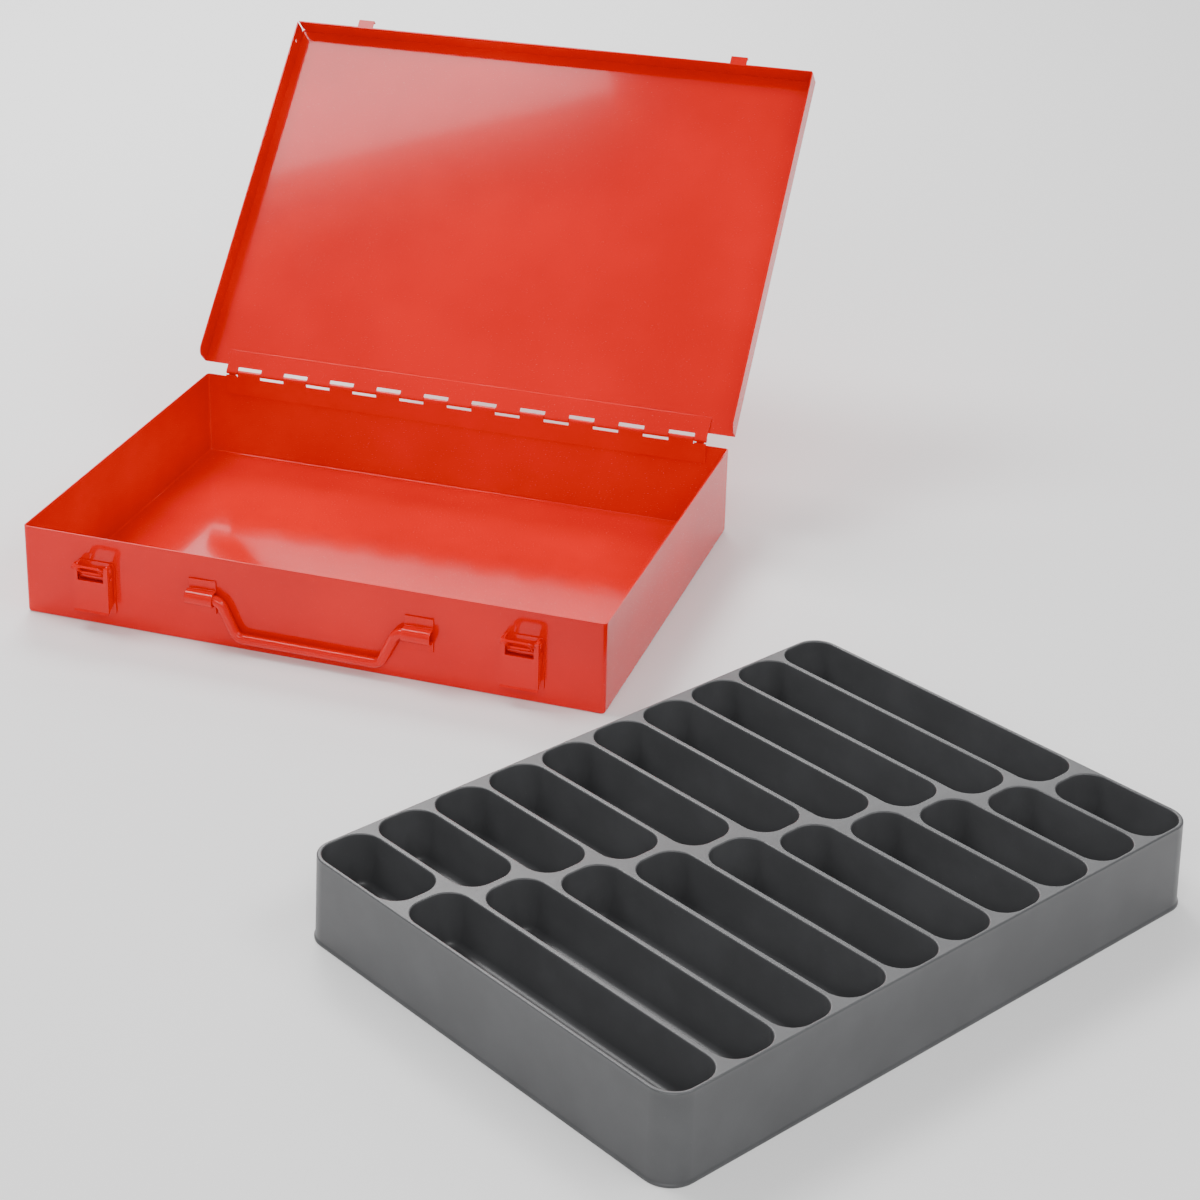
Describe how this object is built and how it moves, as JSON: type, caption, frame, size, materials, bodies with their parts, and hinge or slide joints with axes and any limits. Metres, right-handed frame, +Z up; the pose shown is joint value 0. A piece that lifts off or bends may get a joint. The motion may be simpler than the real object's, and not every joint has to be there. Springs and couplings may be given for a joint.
{
  "type": "toolbox with tray",
  "caption": "Flat red sheet-steel assortment case with hinged lid, draw latches and bail handle, and its lift-out compartment tray beside it.",
  "frame": {"origin": "centre of the case's underside, on the surface it stands on", "axes": "+X along the case to its right end, +Y from the latches to the hinge, +Z up"},
  "size_m": [0.8245, 0.9863, 0.3149],
  "materials": {
    "painted_steel": "gloss red paint on pressed and folded sheet steel",
    "tray_plastic": "anthracite thermoformed plastic with a satin surface"
  },
  "bodies": {
    "case": {"base_pan": "painted_steel", "base_hinge_leaf": "painted_steel", "hinge_pin": "painted_steel", "handle_bracket_left": "painted_steel", "handle_bracket_right": "painted_steel", "latch_left_base": "painted_steel", "latch_left_pivot_rivet_1": "painted_steel", "latch_left_pivot_rivet_2": "painted_steel", "latch_left_wall_rivet_1": "painted_steel", "latch_left_wall_rivet_2": "painted_steel", "latch_right_base": "painted_steel", "latch_right_pivot_rivet_1": "painted_steel", "latch_right_pivot_rivet_2": "painted_steel", "latch_right_wall_rivet_1": "painted_steel", "latch_right_wall_rivet_2": "painted_steel"},
    "lid": {"lid_pan": "painted_steel", "lid_hinge_leaf": "painted_steel"},
    "handle": {"handle_bail": "painted_steel"},
    "tray": {"compartment_tray": "tray_plastic"},
    "left_lever": {"latch_left_lever": "painted_steel", "latch_left_claw_pin": "painted_steel"},
    "left_claw": {"latch_left_claw": "painted_steel"},
    "right_lever": {"latch_right_lever": "painted_steel", "latch_right_claw_pin": "painted_steel"},
    "right_claw": {"latch_right_claw": "painted_steel"}
  },
  "joints": [
    {"name": "lid_hinge", "type": "hinge", "parent": "case", "child": "lid", "pos_m": [0, 0.1558, 0.072], "axis": [-1, 0, 0], "range_deg": [-133.8, 0]},
    {"name": "handle_swing", "type": "hinge", "parent": "case", "child": "handle", "pos_m": [0.004, -0.1607, 0.0375], "axis": [-1, 0, 0], "range_deg": [0, 150]},
    {"name": "latch_left_lever_turn", "type": "hinge", "parent": "case", "child": "left_lever", "pos_m": [-0.16, -0.1615, 0.047], "axis": [-1, 0, 0], "range_deg": [0, 80]},
    {"name": "latch_left_claw_turn", "type": "hinge", "parent": "left_lever", "child": "left_claw", "pos_m": [-0.16, -0.1605, 0.04], "axis": [1, 0, 0], "range_deg": [-45, 35]},
    {"name": "latch_right_lever_turn", "type": "hinge", "parent": "case", "child": "right_lever", "pos_m": [0.16, -0.1615, 0.047], "axis": [-1, 0, 0], "range_deg": [0, 80]},
    {"name": "latch_right_claw_turn", "type": "hinge", "parent": "right_lever", "child": "right_claw", "pos_m": [0.16, -0.1605, 0.04], "axis": [1, 0, 0], "range_deg": [-45, 35]},
    {"name": "tray_lift", "type": "slide", "parent": "case", "child": "tray", "axis": [0, 0, 1], "range_m": [0, 0.25]}
  ]
}
